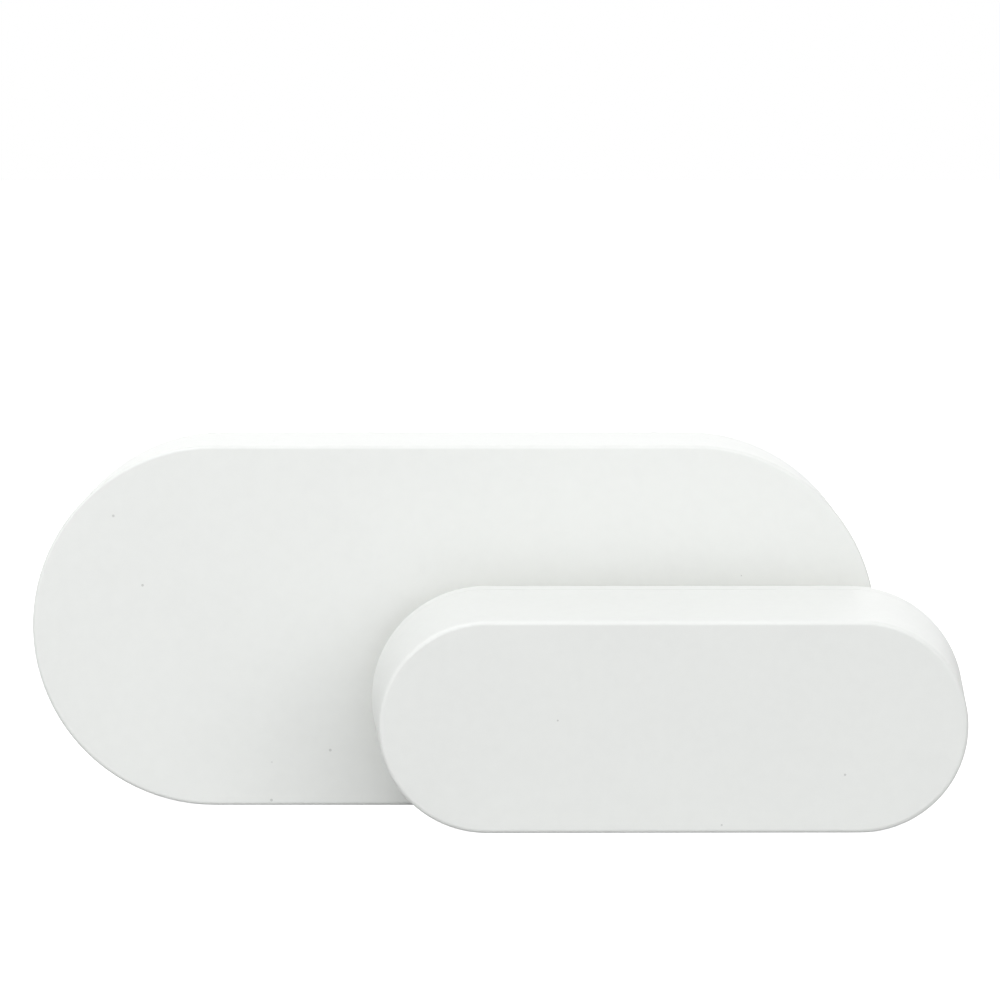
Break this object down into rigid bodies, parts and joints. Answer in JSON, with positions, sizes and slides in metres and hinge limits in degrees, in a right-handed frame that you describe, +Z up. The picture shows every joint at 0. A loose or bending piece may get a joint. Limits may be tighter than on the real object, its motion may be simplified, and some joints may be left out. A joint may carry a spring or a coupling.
{
  "type": "door contact sensor",
  "caption": "Pill-shaped door contact sensor unit with a reed switch and battery cells inside, and a smaller tapered magnet unit standing in front of it.",
  "frame": {"origin": "centre of the bounding box of both units, on the surface they stand on", "axes": "+X along the sensor unit, +Y from the faces towards the mounting backs, +Z up from the long side that the units stand on"},
  "size_m": [0.077, 0.0352, 0.03],
  "materials": {
    "casing": "fine matt",
    "chassis": "matt",
    "board": "solder mask",
    "radio_board": "solder mask",
    "shield": "tin plate",
    "ceramic": "fired ceramic",
    "reed_glass": "clear",
    "reed_metal": "plated",
    "lamp": "clear resin",
    "crystal_can": "satin",
    "chip_black": "matt",
    "capacitor": "ceramic",
    "resistor": "glazed",
    "switch": "matt",
    "button": "matt",
    "contact": "nickel plate",
    "screw": "zinc plate",
    "cell": "printed sleeve",
    "foam_tape": "closed-cell foam",
    "magnet_metal": "nickel plate",
    "foam_pad": "open-cell foam"
  },
  "bodies": {
    "sensor_unit": {"front_cover": "casing", "battery_chassis": "chassis", "circuit_board": "board", "radio_module_board": "radio_board", "radio_shield_can": "shield", "chip_antenna": "ceramic", "reed_switch_glass": "reed_glass", "reed_switch_blades": "reed_metal", "status_lamp": "lamp", "crystal": "crystal_can", "voltage_regulator": "chip_black", "capacitors": "capacitor", "resistors": "resistor", "pairing_switch": "switch", "tamper_switch": "switch", "battery_plate_contacts": "contact", "battery_spring_contacts": "contact", "chassis_screws": "screw"},
    "wall_mount": {"wall_plate": "casing", "sensor_tape": "foam_tape"},
    "battery_pair": {"battery_cell_upper": "cell", "battery_cell_lower": "cell"},
    "pairing_key": {"pairing_button": "button"},
    "tamper_pin": {"tamper_plunger": "button"},
    "magnet_unit": {"magnet_base": "casing", "magnet_holder": "chassis", "magnet": "magnet_metal", "magnet_foam_pad": "foam_pad", "magnet_tape": "foam_tape"},
    "magnet_shell": {"magnet_cover": "casing"}
  },
  "joints": [
    {"name": "wall_plate_slide", "type": "slide", "parent": "sensor_unit", "child": "wall_mount", "axis": [0, 1, 0], "range_m": [0, 0.04]},
    {"name": "battery_slide", "type": "slide", "parent": "sensor_unit", "child": "battery_pair", "axis": [0, 1, 0], "range_m": [0, 0.02]},
    {"name": "pairing_press", "type": "slide", "parent": "sensor_unit", "child": "pairing_key", "axis": [0, -1, 0], "range_m": [0, 0.00035], "stiffness_N_per_m": 500, "springref_m": -0.0005},
    {"name": "tamper_press", "type": "slide", "parent": "sensor_unit", "child": "tamper_pin", "axis": [0, -1, 0], "range_m": [0, 0.0006], "stiffness_N_per_m": 500, "springref_m": -0.0005},
    {"name": "magnet_slide", "type": "slide", "parent": "sensor_unit", "child": "magnet_unit", "axis": [0, -1, 0], "range_m": [0, 0.06]},
    {"name": "magnet_cover_slide", "type": "slide", "parent": "magnet_unit", "child": "magnet_shell", "axis": [0.007, -1, 0], "range_m": [0, 0.02]}
  ],
  "couplings": [
    {"joint": "battery_slide", "follows": "wall_plate_slide", "ratio": 0.5}
  ]
}
